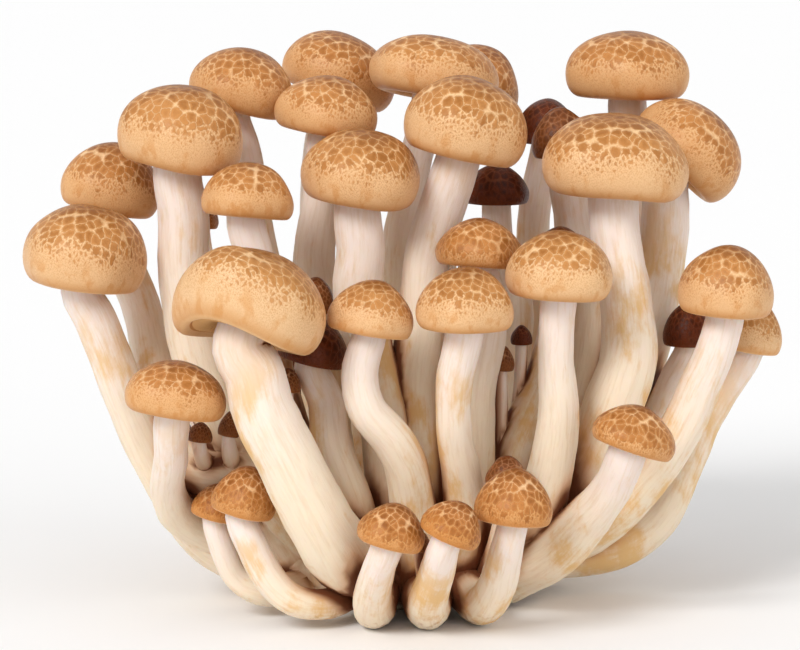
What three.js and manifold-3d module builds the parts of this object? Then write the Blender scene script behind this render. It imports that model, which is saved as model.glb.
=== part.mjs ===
// Beech mushroom cluster: a clump of small brown-capped mushrooms grown together on a base that is cut flat.
// Millimetres, +Z up. The cut face lies on z = 0 with its middle near the origin.
// +X runs across the clump's broad front, and +Y away from whoever looks at that front.

import * as THREE from "three";
import { mergeVertices } from "three/addons/utils/BufferGeometryUtils.js";
import Module from "manifold-3d";

// The clearance between a stem's end and the flesh of its cap
const CAP_GAP = 0.3;

// Shape of a cap, as shares of its radius or of its height over the rim
const GILL_INSET = 0.07;
const GILL_LEVEL = 0.05;
const SOCKET_LEVEL = 0.2;
const NECK_LENGTH = 0.05;

// Caps grow from pointed with a low sharp rim to round with a rim that is drawn in under them. The first of
// each pair holds up to the first width and the second from the second width on: how high the widest line
// lies, where the rolled rim ends, and how pointed the crown is.
const GROWTH_WIDTHS = [12, 18];
const WIDEST_LEVELS = [0.22, 0.33];
const ROLLED_RADII = [0.88, 0.76];
const POINTEDNESS = [0.4, 0];
const CONE_POWER = 1.8;

// Rings of a cap from the crown to the widest line, and on down to the rolled rim, in degrees of arc
const DOME_ARCS = [60, 32, 0];
const RIM_ARCS = [50, 90];

// Gills stand out by this share of the cap's width, and there is one for each side of the cap
const GILL_RELIEF = 0.022;
const SOCKET_MARGIN = 0.5;
const SMALL_CAP = 11;
const CAP_SIDES = { large: 12, small: 8 };

// Stems: sides of the tube, which depend on the radius halfway, and the rings' distance in such radii
const STOUT_STEM = 2.9;
const STEM_SIDES = { stout: 8, slim: 6 };
const STEM_STEP = 2.3;
const STEM_RINGS = { least: 4, most: 9 };

// The base that the stems grow from: half widths, middle, and rings in degrees of arc
const BASE_HALF = [24, 20, 9];
const BASE_CENTRE = [-2, 2, 6];
const BASE_ARCS = [45, 10, -25, -55];
const BASE_SIDES = 24;

// The block that is cut away under the flat face
const CUT_BLOCK = [200, 200, 40];

// Colours
const STEM_COLOUR = new THREE.Color(0xeadfcb);
const PALE_CAP = new THREE.Color(0xc99a62);
const DARK_CAP = new THREE.Color(0x5e3820);

// Each mushroom: name, middle of the cap's rim, width and height of the cap, its lean to the right and to the
// back in degrees, the rim's arch as its lift and its heading in degrees, how dark the cap is from 0 to 1,
// the stem's radius at the cap, halfway and at the foot, and the points that the stem passes on its way down.
const MUSHROOMS = [
  // Tall ones on the left
  ["cap_left_1", [-50.8, -8, 50.5], 19.5, 13.2, [6, 2], [0.8, 200], 0.1, [3.3, 3.6, 5],
    [[-49, -8, 46], [-46.5, -8, 39.5], [-43.2, -8, 30.5], [-38.5, -7, 20.5], [-31, -5, 9.5], [-18, -4, 5]]],
  ["cap_left_2", [-48.3, 8, 61.2], 16.1, 11, [12, 0], [0, 0], 0.3, [3, 3.7, 4.4],
    [[-42.7, 7, 45.5], [-40.9, 3, 38.5], [-39, -4, 31], [-35.8, -8.5, 23.8], [-31, -10.6, 21.7], [-26, -11.5, 21.1],
      [-21.5, -13, 19], [-15, -10, 10], [-9, -8, 4]]],
  ["cap_left_3", [-36, -2, 69.2], 20, 13, [9, 0], [0, 0], 0.15, [4.1, 4.2, 5.5],
    [[-35.1, -3, 61], [-35, -4, 53.5], [-33, -6, 40], [-28.5, -8, 28], [-20.5, -9, 12], [-15, -8, 4]]],
  ["cap_left_4", [-24.8, -12, 62.2], 14.5, 8.6, [5, 5], [0, 0], 0.3, [2.9, 3.2, 4.2],
    [[-23.5, -12, 56], [-21.5, -12, 43], [-18, -13, 29], [-12.5, -13, 12], [-9, -10, 3]]],
  ["cap_left_5", [-27.3, 13, 77], 17, 10.2, [14, 0], [0, 0], 0.35, [2.3, 2.6, 3.8],
    [[-25.6, 12, 70.5], [-24.3, 11.5, 61], [-20.5, 9, 41.5], [-15.5, 6, 12], [-13, 5, 3]]],
  ["cap_left_6", [-33, 12, 58], 5, 4, [10, 0], [0, 0], 0.8, [1.3, 1.6, 3],
    [[-31, 10, 46], [-24, 5, 12], [-21, 3, 4]]],

  // Tall ones in the middle
  ["cap_top_1", [-12.4, 27, 78.2], 19, 10.7, [20, 0], [0, 0], 0.35, [2.5, 2.8, 4],
    [[-14.5, 24, 67], [-15, 22, 48], [-11.5, 16, 12], [-10, 13, 3]]],
  ["cap_top_2", [-12.8, 4, 74], 16.5, 9.2, [9, 0], [0, 0], 0.3, [2.8, 3.7, 4.4],
    [[-13.2, 5, 67], [-13.6, 5, 62], [-14.6, 5, 55], [-14.2, 4, 44], [-10.5, 2, 12], [-9, 1, 3]]],
  ["cap_top_3", [-7.4, -8, 64], 18.7, 11.7, [7, 0], [0, 0], 0.15, [3.6, 4.1, 4.6],
    [[-7, -8.5, 56.5], [-7.5, -9, 50], [-5, -10, 38], [-3, -11, 28], [-1.5, -12, 12], [-1.5, -9, 2]]],
  ["cap_top_4", [4, 14, 78.8], 21, 10.2, [8, 7], [0.8, 180], 0.25, [2.8, 3, 4.2],
    [[1.7, 14, 68.5], [0.5, 13, 62.5], [-0.9, 12, 56], [-1, 9, 33], [-1, 5, 10], [-1, 3, 2]]],
  ["cap_top_5", [10, 31.5, 76], 15.5, 11, [28, 0], [0, 0], 0.45, [2.5, 2.8, 4],
    [[6.8, 27, 63], [6, 24, 52], [4, 16, 12], [3, 12, 2]]],
  ["cap_top_6", [8.4, -4.2, 71], 19.7, 12.7, [13, 0], [0, 0], 0.1, [3.4, 4.2, 5],
    [[6.5, -3.5, 65], [5, -3, 60], [3.5, -4, 54], [3, -6, 46.5], [1.5, -8, 35], [3.5, -9, 12], [3.5, -7, 2]]],
  ["cap_top_7", [15, 16, 61.5], 11, 6.5, [0, 0], [0, 0], 1, [2.4, 3.4, 4],
    [[15.4, 15.5, 55], [17.8, 14, 46], [16, 11, 30], [11, 8, 12], [10, 7, 3]]],
  ["cap_top_8", [23.5, 26, 70.4], 10.5, 7.5, [3, 0], [0, 0], 1, [2.5, 3, 4],
    [[21.5, 25, 58.5], [21.5, 22, 41], [16, 15, 12], [12, 11, 3]]],
  ["cap_top_9", [25.5, 12, 69.5], 10, 8, [-3, 0], [0, 0], 0.92, [2.6, 4, 4.6],
    [[27.2, 12, 60], [29, 10, 47], [27.5, 9, 34], [21, 7, 14], [16, 5, 4]]],

  // The right side
  ["cap_right_1", [36.7, 22, 78.4], 20.3, 11, [1, 0], [0, 0], 0.3, [3.4, 3.8, 4.8],
    [[36.8, 21, 65], [36, 18, 46], [27, 11, 16], [20, 7, 5]]],
  ["cap_right_2", [43.2, 11, 67.6], 19.3, 11.5, [44, 6], [0, 0], 0.3, [3.6, 4.2, 5],
    [[42.3, 10.5, 61], [42, 10, 56], [41, 9, 48], [37.8, 6, 35], [30, 3, 15], [22, 2, 5]]],
  ["cap_right_3", [32.8, -6, 65.2], 23, 12.7, [2, 0], [0, 0], 0.1, [3.9, 4.6, 6],
    [[33, -7, 59.5], [34.5, -9, 50], [35, -12, 40], [33, -13, 33.5], [29, -12, 22.5], [17, -4, 5]]],
  ["cap_right_4", [50, -12, 47], 15.2, 10.8, [4, 0], [0, 0], 0.18, [3, 3.6, 5],
    [[48.5, -12, 41], [46, -12, 35], [43, -12, 28], [38, -11, 20.5], [31, -8, 13], [17, -4, 7]]],
  ["cap_right_5", [55.3, 4, 38.9], 10, 8.3, [10, 0], [0, 0], 0.05, [2.4, 3.1, 4.9],
    [[51.4, 4, 32], [48.2, 3, 26.5], [45, 2, 19.5], [41, 1, 12.2], [34.5, 0, 7.8], [18, 0, 6]]],
  ["cap_right_6", [45.3, 0, 40.3], 8, 7, [0, 0], [0, 0], 1, [2.1, 2.3, 3.4],
    [[43, 1, 35], [39.5, 1, 27], [31.5, 0, 12], [18, 0, 6]]],

  // The front
  ["cap_front_1", [-24.7, -31, 45.5], 23.5, 14, [14, 10], [5, 240], 0, [4, 5.2, 5.4],
    [[-22.9, -31.5, 40.7], [-21.5, -32.5, 35.3], [-17.9, -33, 28], [-12.5, -31, 17], [-9.5, -25, 11], [-5, -13, 7]]],
  ["cap_front_2", [-35.4, -28, 33.8], 15.6, 8.2, [9, 2], [0, 0], 0.35, [2.8, 3, 4.6],
    [[-36, -24, 26.5], [-37, -18, 20.5], [-35.5, -12, 15], [-31, -8, 11.5], [-23, -5, 8.5], [-15, -4, 6]]],
  ["cap_front_3", [-5.5, -25, 45.8], 13.2, 8.2, [9, 2], [0, 0], 0.12, [2.7, 3.3, 5],
    [[-7, -26, 40], [-6, -27, 34.5], [-2, -26, 29.5], [0.5, -24, 23.5], [1.5, -19, 13], [1.5, -13, 5]]],
  ["cap_front_4", [9, -27, 46.8], 15, 9.3, [1, 0], [0, 0], 0.1, [2.9, 3, 4.5],
    [[7.5, -26, 38.5], [7.5, -25, 31], [8.8, -22, 22.5], [9.5, -17, 13], [8, -11, 5]]],
  ["cap_front_5", [23.5, -22, 51], 16.5, 10.2, [3, 0], [0, 0], 0.06, [2.9, 3.3, 5.4],
    [[23.2, -21, 41], [23.7, -21, 33], [22.7, -20, 24.5], [20.5, -16, 15.5], [16, -9, 8]]],
  ["cap_front_6", [11.5, -12, 54.4], 13.6, 7.6, [4, 5], [0, 0], 0.35, [3.2, 3.6, 4.4],
    [[12.5, -12, 46], [11, -13, 36.5], [10.5, -13, 24], [9.5, -12, 12], [8, -9, 4]]],
  ["cap_front_7", [34, -30, 28.7], 13.1, 6.9, [19, 3], [0, 0], 0.35, [2.8, 3.8, 5.2],
    [[31.5, -26, 21.5], [28.3, -22, 16.5], [24, -18, 11], [16, -9, 5]]],
  ["cap_front_8", [16.2, -37, 19], 12, 8, [5, 0], [0, 0], 0.5, [2.4, 3, 4.1],
    [[15, -34, 12.5], [14, -30, 7.5], [12, -25, 3.4], [9, -12, 4.5]]],
  ["cap_front_9", [6.2, -43, 17.5], 9.4, 5.9, [24, 0], [0, 0], 0.6, [2.2, 3.2, 4.2],
    [[4.8, -38, 11.5], [3.5, -32, 6], [3.6, -26, 3.2], [3, -12, 4.5]]],
  ["cap_front_10", [-2.6, -40, 16], 10.3, 6.5, [15, 0], [0, 0], 0.5, [2.4, 3, 4],
    [[-4, -37, 11.5], [-5, -31, 6], [-4.8, -26, 3.2], [-4, -12, 4.5]]],
  ["cap_front_11", [-25.2, -26, 18], 10, 7.5, [14, 0], [0, 0], 0.5, [2.3, 2.5, 2.2],
    [[-23.5, -26.5, 13], [-20.5, -27, 7.5], [-17, -27, 4.5], [-12.5, -25, 3.5], [-5, -13, 4.5]]],
  ["cap_front_12", [-29.5, -17.8, 15.7], 8.5, 5.5, [14, 0], [0, 0], 0.6, [2, 2.2, 2.8],
    [[-28.2, -18, 10], [-26.2, -18, 6], [-22.4, -18, 4], [-12, -9, 4.5]]],

  // Young ones between the tall stems
  ["cap_inner_1", [15.6, -26, 22], 6.5, 5, [0, 0], [0, 0], 0.9, [1.4, 1.8, 2.4],
    [[15, -22, 14], [13, -15, 5]]],
  ["cap_inner_2", [2.1, -35.2, 14], 3.3, 3, [6, 0], [0, 0], 0.9, [0.8, 1, 1.5],
    [[2.6, -33, 9], [2.5, -26, 5], [2.5, -12, 4.5]]],
  ["cap_inner_3", [-18.4, -20, 36], 4.4, 3.6, [4, 0], [0, 0], 0.9, [1.1, 1.4, 2.5],
    [[-18, -19, 31], [-14, -15, 13], [-12, -11, 4]]],
  ["cap_inner_4", [-14.6, -17.5, 40.2], 11, 7, [13, 0], [0, 0], 1, [2.7, 3.2, 4.4],
    [[-12.4, -17, 34], [-11.5, -19, 27.5], [-8.5, -19, 19], [-7, -15, 11], [-6, -11, 4]]],
  ["cap_inner_5", [-14.5, -6, 46.5], 6.5, 5.5, [5, 0], [0, 0], 0.9, [1.6, 1.8, 3],
    [[-13.5, -7, 32.5], [-9.5, -8, 12], [-8, -8, 3]]],
  ["cap_inner_6", [15, -8, 37.5], 4.5, 4, [4, 0], [0, 0], 0.9, [1.2, 1.6, 2.8],
    [[15, -9, 26], [13.5, -9, 12], [11, -8, 4]]],
  ["cap_inner_7", [18.5, -4, 41], 3.5, 3, [0, 0], [0, 0], 1, [1, 1.3, 2.6],
    [[18, -5, 32], [15, -5, 12], [12, -4, 4]]],
  ["cap_inner_8", [-32, -19, 28], 4, 3, [8, 0], [0, 0], 0.9, [1.1, 1.3, 1.5],
    [[-31.8, -16.6, 25.5], [-31, -11.5, 22.3]]],
  ["cap_inner_9", [-27.5, -17, 28.5], 3.5, 4, [10, 0], [0, 0], 0.9, [1, 1.3, 1.5],
    [[-27.4, -15.6, 25.5], [-26.8, -12.2, 21.8]]],
  ["cap_inner_10", [24.9, 2, 53.2], 9, 6, [0, 0], [0, 0], 0.9, [2.2, 3.3, 4.6],
    [[24.5, 1, 46], [21.8, -4, 34.5], [17.8, -8, 26], [14, -9, 12], [12, -6, 5]]],

  // Shorter ones that close the back
  ["cap_back_1", [-34, 16, 28], 11, 7.5, [-8, 10], [0, 0], 0.4, [2.4, 2.8, 4],
    [[-31, 14, 19], [-24, 10, 10], [-17, 7, 5]]],
  ["cap_back_2", [-24, 32, 36], 15, 9, [-4, 12], [0, 0], 0.3, [2.8, 3.2, 4.5],
    [[-21, 26, 23], [-16, 18, 12], [-11, 12, 4]]],
  ["cap_back_3", [-7, 37, 33], 15.5, 10, [3, 10], [0, 0], 0.2, [3, 3.4, 4.8],
    [[-7, 31, 21], [-6, 22, 10], [-5, 13, 4]]],
  ["cap_back_4", [9, 36, 25], 13, 8, [2, 12], [0, 0], 0.35, [2.6, 3, 4.4],
    [[8, 30, 16], [7, 22, 8], [6, 13, 4]]],
  ["cap_back_5", [27, 30, 21], 13.5, 8.5, [6, 8], [0, 0], 0.25, [2.6, 3, 4.4],
    [[24, 25, 12], [19, 17, 7], [12, 11, 4]]],
  ["cap_back_6", [-15, 39, 18], 10.5, 7, [-6, 14], [0, 0], 0.5, [2.2, 2.6, 3.8],
    [[-13, 33, 10], [-10, 24, 5], [-7, 15, 4]]],
  ["cap_back_7", [0, 42, 16], 9, 6, [2, 16], [0, 0], 0.6, [1.9, 2.3, 3.4],
    [[0.5, 35, 9], [1, 26, 4.5], [1, 15, 4]]],
  ["cap_back_8", [16, 38, 14], 9.5, 6.5, [8, 14], [0, 0], 0.5, [2.1, 2.5, 3.6],
    [[14, 32, 8], [12, 24, 4.5], [9, 14, 4]]],
  ["cap_back_9", [38.5, 22, 25], 10, 7, [8, 8], [0, 0], 0.4, [2.3, 2.7, 3.8],
    [[34.5, 18, 17], [27, 12, 10], [18, 7, 5]]],
];

const DEGREE = Math.PI / 180;
const FULL_TURN = 2 * Math.PI;
const GOLDEN_ANGLE = 137.5 * DEGREE;

const wasm = await Module();
wasm.setup();

// A closed skin through rings of points, listed from the top down and each anticlockwise seen from above.
// A ring may be a single point, or have twice as many points as the ring over it.
function loft(rings) {
  const index = [];
  let start = 0;
  for (let level = 0; level + 1 < rings.length; level += 1) {
    const upper = rings[level].length;
    const lower = rings[level + 1].length;
    const steps = Math.max(upper, lower);
    const under = start + upper;
    for (let k = 0; k < steps; k += 1) {
      const [u0, u1] = [k, k + 1].map((n) => start + (Math.round((n * upper) / steps) % upper));
      const [l0, l1] = [k, k + 1].map((n) => under + (Math.round((n * lower) / steps) % lower));
      if (l0 !== l1) index.push(u0, l0, l1);
      if (u0 !== u1) index.push(u0, l1, u1);
    }
    start = under;
  }
  const geometry = new THREE.BufferGeometry().setFromPoints(rings.flat());
  geometry.setIndex(index);
  return geometry;
}

// A point of a cap's skin, from its share of the radius and of the height. The outline sways a little
// from the round, and the rim arches up over one side.
function capPoint(cap, radius, level, angle) {
  const sway = 1 + 0.02 * Math.sin(3 * angle + cap.phase) + 0.015 * Math.sin(5 * angle - 2 * cap.phase);
  const reach = 0.5 * cap.across * radius * sway;
  const [lift, heading] = cap.arch;
  const facing = Math.max(0, Math.cos(angle - heading * DEGREE));
  const rise = lift * facing ** 2 * Math.max(0, radius - 0.4);
  return new THREE.Vector3(reach * Math.cos(angle), reach * Math.sin(angle), cap.tall * level + rise);
}

// A ring round a cap. Relief lifts every other point of it, which leaves the ones between as gills.
function capRing(cap, sides, radius, level, relief = 0) {
  return Array.from({ length: sides }, (_, k) => {
    const point = capPoint(cap, radius, level, (k * FULL_TURN) / sides);
    point.z += (k % 2) * relief;
    return point;
  });
}

// The value between a young cap's and a grown one's that suits this cap's width.
function grownTo(cap, [young, old]) {
  const share = THREE.MathUtils.mapLinear(cap.across, ...GROWTH_WIDTHS, 0, 1);
  return THREE.MathUtils.lerp(young, old, THREE.MathUtils.clamp(share, 0, 1));
}

// A cap is a dome with a rolled rim. Under it the gills stand as ridges round the flat that the stem meets.
function capGeometry(cap) {
  const sides = cap.across > SMALL_CAP ? CAP_SIDES.large : CAP_SIDES.small;
  const relief = 2 * GILL_RELIEF * cap.across;
  const socket = (2 * (cap.girth[0] + SOCKET_MARGIN)) / cap.across;
  const widest = grownTo(cap, WIDEST_LEVELS);
  const inner = grownTo(cap, ROLLED_RADII);
  const dome = DOME_ARCS.map((arc) => {
    const radius = Math.cos(arc * DEGREE);
    const height = THREE.MathUtils.lerp(Math.sin(arc * DEGREE), 1 - radius ** CONE_POWER, grownTo(cap, POINTEDNESS));
    return capRing(cap, sides, radius, widest + (1 - widest) * height);
  });
  const rim = RIM_ARCS.map((arc) => {
    const radius = inner + (1 - inner) * Math.cos(arc * DEGREE);
    return capRing(cap, sides, radius, widest * (1 - Math.sin(arc * DEGREE)));
  });
  return loft([
    [new THREE.Vector3(0, 0, cap.tall)],
    ...dome,
    ...rim,
    capRing(cap, 2 * sides, inner - GILL_INSET, GILL_LEVEL, relief),
    capRing(cap, 2 * sides, socket, SOCKET_LEVEL, relief),
    [new THREE.Vector3(0, 0, cap.tall * SOCKET_LEVEL)],
  ]);
}

// A stem's radius runs smoothly through its three measured radii, with a slight swell and waist.
function stemRadius(cap, share) {
  const [top, middle, foot] = cap.girth;
  const ends = top * (1 - share) * (1 - 2 * share) + foot * share * (2 * share - 1);
  const taper = ends + middle * 4 * share * (1 - share);
  return taper * (1 + 0.04 * Math.sin(9 * share + cap.phase));
}

// A stem is a tube that leaves the cap square to its rim and bends down to the base.
function stemGeometry(cap) {
  const end = cap.centre.clone().addScaledVector(cap.axis, cap.tall * SOCKET_LEVEL - CAP_GAP);
  const neck = cap.centre.clone().addScaledVector(cap.axis, -NECK_LENGTH * cap.across);
  const way = cap.path.map((point) => new THREE.Vector3(...point));
  const curve = new THREE.CatmullRomCurve3([end, neck, ...way]);
  const count = Math.round(curve.getLength() / (STEM_STEP * cap.girth[1]));
  const steps = Math.max(STEM_RINGS.least, Math.min(STEM_RINGS.most, count));
  const { normals, binormals } = curve.computeFrenetFrames(steps, false);
  const sides = cap.girth[1] < STOUT_STEM ? STEM_SIDES.slim : STEM_SIDES.stout;
  const rings = normals.map((normal, step) => {
    const share = step / steps;
    const middle = curve.getPointAt(share);
    const radius = stemRadius(cap, share);
    return Array.from({ length: sides }, (_, k) => {
      const angle = (k * FULL_TURN) / sides;
      return middle.clone()
        .addScaledVector(normal, radius * Math.cos(angle))
        .addScaledVector(binormals[step], -radius * Math.sin(angle));
    });
  });
  return loft([[end], ...rings, [way.at(-1)]]);
}

// The base is a low uneven mound.
function baseGeometry() {
  const mound = (arc, angle) => {
    const sway = 1 + 0.05 * Math.sin(3 * angle + 1) + 0.04 * Math.sin(7 * angle);
    const reach = sway * Math.cos(arc * DEGREE);
    return new THREE.Vector3(
      BASE_CENTRE[0] + BASE_HALF[0] * reach * Math.cos(angle),
      BASE_CENTRE[1] + BASE_HALF[1] * reach * Math.sin(angle),
      BASE_CENTRE[2] + BASE_HALF[2] * Math.sin(arc * DEGREE),
    );
  };
  const angles = Array.from({ length: BASE_SIDES }, (_, k) => (k * FULL_TURN) / BASE_SIDES);
  const rings = BASE_ARCS.map((arc) => angles.map((angle) => mound(arc, angle)));
  return loft([[mound(90, 0)], ...rings, [mound(-90, 0)]]);
}

function solidOf(geometry) {
  const vertProperties = Float32Array.from(geometry.getAttribute("position").array);
  const triVerts = Uint32Array.from(geometry.getIndex().array);
  return new wasm.Manifold(new wasm.Mesh({ numProp: 3, vertProperties, triVerts }));
}

function geometryOf(solid) {
  const { vertProperties, triVerts } = solid.getMesh();
  const geometry = new THREE.BufferGeometry();
  geometry.setAttribute("position", new THREE.BufferAttribute(vertProperties, 3));
  geometry.setIndex(new THREE.BufferAttribute(triVerts, 1));
  return geometry;
}

// All stems and the base grow together, and the knife leaves a flat face on z = 0. Only the outer skin of
// the joined body is kept, so that no hollow stays shut inside it.
function joinedStems(caps) {
  const block = new THREE.BoxGeometry(...CUT_BLOCK).translate(0, 0, -0.5 * CUT_BLOCK[2]);
  block.deleteAttribute("normal");
  block.deleteAttribute("uv");
  const whole = caps.reduce((body, cap) => body.add(solidOf(stemGeometry(cap))), solidOf(baseGeometry()));
  const pieces = whole.subtract(solidOf(mergeVertices(block))).decompose();
  return pieces.reduce((largest, piece) => (piece.volume() > largest.volume() ? piece : largest));
}

const caps = MUSHROOMS.map(([name, middle, across, tall, lean, arch, tone, girth, path], order) => {
  const [right, back] = lean;
  const turn = new THREE.Euler(-back * DEGREE, right * DEGREE, 0);
  const centre = new THREE.Vector3(...middle);
  const axis = new THREE.Vector3(0, 0, 1).applyEuler(turn);
  const phase = order * GOLDEN_ANGLE;
  return { name, across, tall, arch, tone, girth, path, turn, centre, axis, phase };
});

const cluster = new THREE.Group();

for (const cap of caps) {
  const colour = PALE_CAP.clone().lerp(DARK_CAP, cap.tone);
  const material = new THREE.MeshStandardMaterial({ color: colour, roughness: 0.5, metalness: 0 });
  const mesh = new THREE.Mesh(capGeometry(cap), material);
  mesh.name = cap.name;
  mesh.position.copy(cap.centre);
  mesh.rotation.copy(cap.turn);
  cluster.add(mesh);
}

const stemMaterial = new THREE.MeshStandardMaterial({ color: STEM_COLOUR, roughness: 0.7, metalness: 0 });
const stems = new THREE.Mesh(geometryOf(joinedStems(caps)), stemMaterial);
stems.name = "stems";
cluster.add(stems);

export default cluster;
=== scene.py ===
"""Beech mushroom cluster: brown marbled caps with gills on pale fibrous stems, which share one cut base."""
import math

import bpy
import numpy as np
from mathutils import Matrix, Vector, noise
from mathutils.bvhtree import BVHTree


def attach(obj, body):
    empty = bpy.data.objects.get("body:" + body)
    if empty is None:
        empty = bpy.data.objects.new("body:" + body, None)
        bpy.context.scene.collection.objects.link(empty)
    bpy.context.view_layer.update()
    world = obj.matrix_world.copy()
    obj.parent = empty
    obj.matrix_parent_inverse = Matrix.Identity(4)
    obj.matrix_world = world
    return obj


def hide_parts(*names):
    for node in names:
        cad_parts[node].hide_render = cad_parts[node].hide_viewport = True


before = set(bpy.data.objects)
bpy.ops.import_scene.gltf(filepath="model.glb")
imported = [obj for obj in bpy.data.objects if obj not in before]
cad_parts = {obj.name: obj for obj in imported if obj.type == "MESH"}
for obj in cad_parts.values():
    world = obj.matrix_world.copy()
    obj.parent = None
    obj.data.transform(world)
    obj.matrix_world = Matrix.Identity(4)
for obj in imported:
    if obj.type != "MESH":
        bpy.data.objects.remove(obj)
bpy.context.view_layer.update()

MM = 0.001

# Camera: the photo looks at the clump from a little above, through a long lens
CAMERA_TARGET = (-0.8, 0.0, 43.5)
CAMERA_DISTANCE = 550.0
CAMERA_ELEVATION = 8.0
FIELD_WIDTH = 128.0
SENSOR_WIDTH = 36.0
CLIP_RANGE = (0.01, 50.0)

# Light: each lamp's turn down and to the side, its strength and its softness in degrees
LAMPS = {"key": (54, -36, 1.9, 24), "fill": (70, 48, 0.6, 60)}
LIGHT_ALL_ROUND = 0.66

# The floor: half its width in metres, and how far it lies under the base in millimetres
FLOOR_HALF = 12.0
FLOOR_DROP = 0.3

# Shape of a cap, as shares of its radius or of its height over the rim
LIP_INSET = 0.035
LIP_LEVEL = 0.012
GILL_INSET = 0.07
GILL_LEVEL = 0.05
SOCKET_LEVEL = 0.2
FLESH_LEVELS = (0.13, 0.4)
BURIED_LEVEL = 0.45
NECK_LENGTH = 0.05
CAP_GAP = 0.3
SOCKET_MARGIN = 0.15
ARCH_START = 0.4

# Young caps are pointed with a low sharp rim, grown ones round with a rim that is drawn in. Each pair holds
# up to the first width and from the second width on.
GROWTH_WIDTHS = (12, 18)
WIDEST_LEVELS = (0.22, 0.33)
ROLLED_RADII = (0.88, 0.76)
POINTEDNESS = (0.4, 0)
CONE_POWER = 1.8

# Fineness of the caps: dome, rim, underside, and round the cap
DOME_STEPS = 24
RIM_STEPS = 7
FLESH_STEPS = 4
LARGE_CAP = 12.0
CAP_SIDES = {"large": 112, "small": 72}

# Skin that isn't quite even: how far it swells, as a share of the width, and how many swells a width has
SWELL = 0.016
SWELLS = 2.8

# Caps that aren't quite round: the depth of the broad and the fine waves round the rim
BROAD_WAVE = 0.02
FINE_WAVE = 0.015

# Gills: one long and one short for each step round the cap, by the gap between them at the rim
GILL_PITCH = 1.05
GILL_THICKNESS = 0.34
GILL_SEGMENTS = 5
SHORT_GILL = 0.5
GILL_SAG = 0.035
GILL_REACH = 0.97
GILL_ROOT = 0.02
FEWEST_GILLS = 18

# Marbling reaches this far from the crown to the rim, on grown, young and dark caps
REACH = {"grown": 0.7, "young": 0.9, "dark": 1.0}
YOUNG_WIDTH = 14.0
YOUNG_TONE = 0.3
# Caps darker than this take the dark skin: partly their own deeper brown, partly painted shade for caps deep
# in the clump
DARK_TONE = 0.7
BROWNEST_TONE = 0.6

# From one mushroom to the next: the turn of its waves in degrees, and the way its pattern moves on
PHASE_STEP = 137.5
PATTERN_STEP = (3.7, 1.9)

# Stems
STEM_SIDES = 30
FEWEST_SIDES = 16
THINNEST_SHARE = 0.35
FULL_GIRTH = 5
STEM_PITCH = 1.25
FEWEST_RINGS = 24
PATH_POINTS = 60
STEM_WAVE = 0.04
STEM_WAVES = 9.0
STEM_SWELL = 0.06
FLUTE_DEPTH = 0.05

# Noise keeps near its middle, so a relief from it is stretched by this
NOISE_STRETCH = 3.2

# The base
BASE_HALF = (24, 20, 9)
BASE_CENTRE = (-2, 2, 6)
BASE_SIDES = 120
BASE_RINGS = 40
BASE_WAVES = (0.05, 0.04)
BASE_SWELL = 0.03
BASE_SWELLS = 3.0
CUT_BLOCK = (0.2, 0.2, 0.04)

# Crevices, where shade is painted on the flesh: how far a spot looks for another stem, and the angle past
# which a fold stays sharp
CREVICE_DEPTH = 7 * MM
CREVICE_RAYS = 14
RAY_LOWEST = 0.25
RAY_START = 0.05 * MM
FOLD_ANGLE = 50.0

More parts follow.
